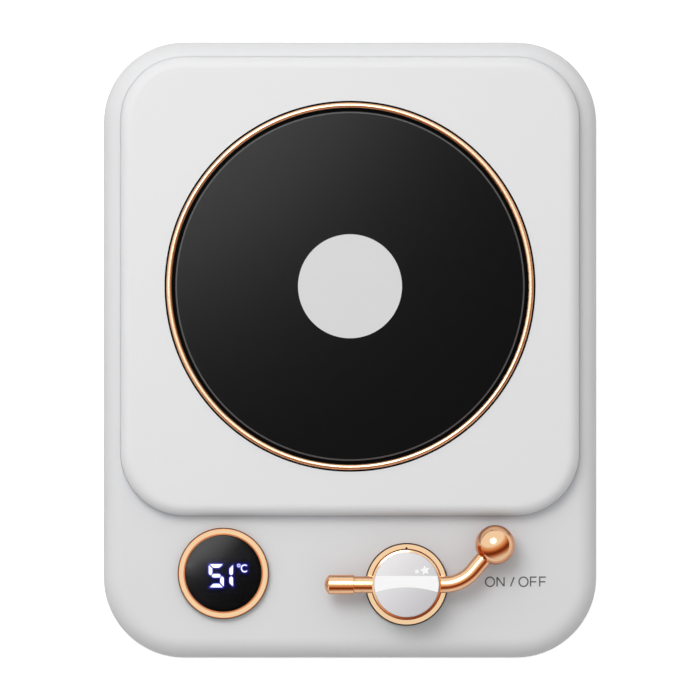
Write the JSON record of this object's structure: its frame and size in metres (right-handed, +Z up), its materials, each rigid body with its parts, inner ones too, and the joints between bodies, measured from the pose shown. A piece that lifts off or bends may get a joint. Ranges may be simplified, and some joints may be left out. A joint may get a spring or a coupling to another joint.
{
  "type": "electric mug warmer",
  "caption": "Flat electric mug warmer with a round glass heating plate on a raised platform, a round display, and a knob with a tone arm as its switch.",
  "frame": {"origin": "middle of the body's plan, on the table", "axes": "+X to the right, +Y to the rear, +Z up, seen by a person who sits in front of the controls"},
  "size_m": [0.13, 0.1624, 0.0362],
  "materials": {
    "casing_plastic": "satin moulded ABS",
    "base_plastic": "fine textured ABS",
    "foot_rubber": "matt silicone rubber",
    "black_rubber": "matt silicone rubber",
    "zinc_steel": "zinc plated",
    "spindle_steel": "turned",
    "copper_trim": "rose copper plated, polished",
    "black_glass": "satin black glass ceramic",
    "label_film": "matt print",
    "aluminium_plate": "mill finish",
    "amber_film": "polyimide film",
    "insulation_felt": "needled mineral felt",
    "ceramic_white": "glazed ceramic",
    "white_insulation": "silicone wire",
    "red_insulation": "silicone wire",
    "grey_insulation": "flat ribbon",
    "tinned_metal": "tinned",
    "circuit_board": "solder mask",
    "black_plastic": "moulded",
    "capacitor_sleeve": "shrink sleeve",
    "ferrite": "sintered",
    "connector_plastic": "moulded",
    "smoked_lens": "polished dark window",
    "bearing_brass": "turned",
    "pearl_inlay": "pearl",
    "acetal_white": "moulded acetal",
    "acetal_black": "moulded acetal"
  },
  "bodies": {
    "housing": {"deck_shell": "casing_plastic", "platform_cover": "casing_plastic", "bottom_cover": "base_plastic", "rubber_feet": "foot_rubber", "case_screws": "zinc_steel", "platform_screws": "zinc_steel", "trim_ring": "copper_trim", "plate_gasket": "black_rubber", "glass_plate": "black_glass", "centre_label": "label_film", "heat_spreader": "aluminium_plate", "heating_film": "amber_film", "insulation_pad": "insulation_felt", "clamp_bracket": "zinc_steel", "clamp_screws": "zinc_steel", "temperature_sensor": "ceramic_white", "sensor_leads": "white_insulation", "thermal_fuse": "tinned_metal", "heater_leads": "red_insulation", "power_board": "circuit_board", "power_board_screws": "zinc_steel", "dc_jack": "black_plastic", "jack_contacts": "tinned_metal", "capacitors": "capacitor_sleeve", "inductor": "ferrite", "heater_transistor": "black_plastic", "wire_sockets": "connector_plastic", "ribbon_sockets": "connector_plastic", "ribbon_cable": "grey_insulation", "control_board": "circuit_board", "control_board_screws": "zinc_steel", "microcontroller": "black_plastic", "display_spacer": "black_plastic", "digit_module": "black_plastic", "display_lens": "smoked_lens", "display_bezel": "copper_trim", "display_retainer": "zinc_steel", "knob_bezel": "copper_trim", "spindle_bush": "bearing_brass", "bush_nut": "bearing_brass", "switch_body": "black_plastic", "switch_pins": "tinned_metal"},
    "tonearm": {"knob_cup": "copper_trim", "knob_inlay": "pearl_inlay", "arm_rod": "copper_trim", "ball_end": "copper_trim", "tail_rod": "copper_trim", "counterweight": "copper_trim", "spindle": "spindle_steel", "friction_washer": "bearing_brass", "crank_disc": "acetal_white", "crank_screw": "zinc_steel"},
    "slider": {"switch_slider": "acetal_black"}
  },
  "joints": [
    {"name": "arm_swing", "type": "hinge", "parent": "housing", "child": "tonearm", "pos_m": [0.0149, -0.0618, 0.031], "axis": [0, 0, 1], "range_deg": [-45, 0]},
    {"name": "switch_slide", "type": "slide", "parent": "housing", "child": "slider", "axis": [1, 0, 0], "range_m": [-0.003, 0]}
  ],
  "couplings": [
    {"joint": "switch_slide", "follows": "arm_swing", "m_per_rad": 0.003819}
  ]
}
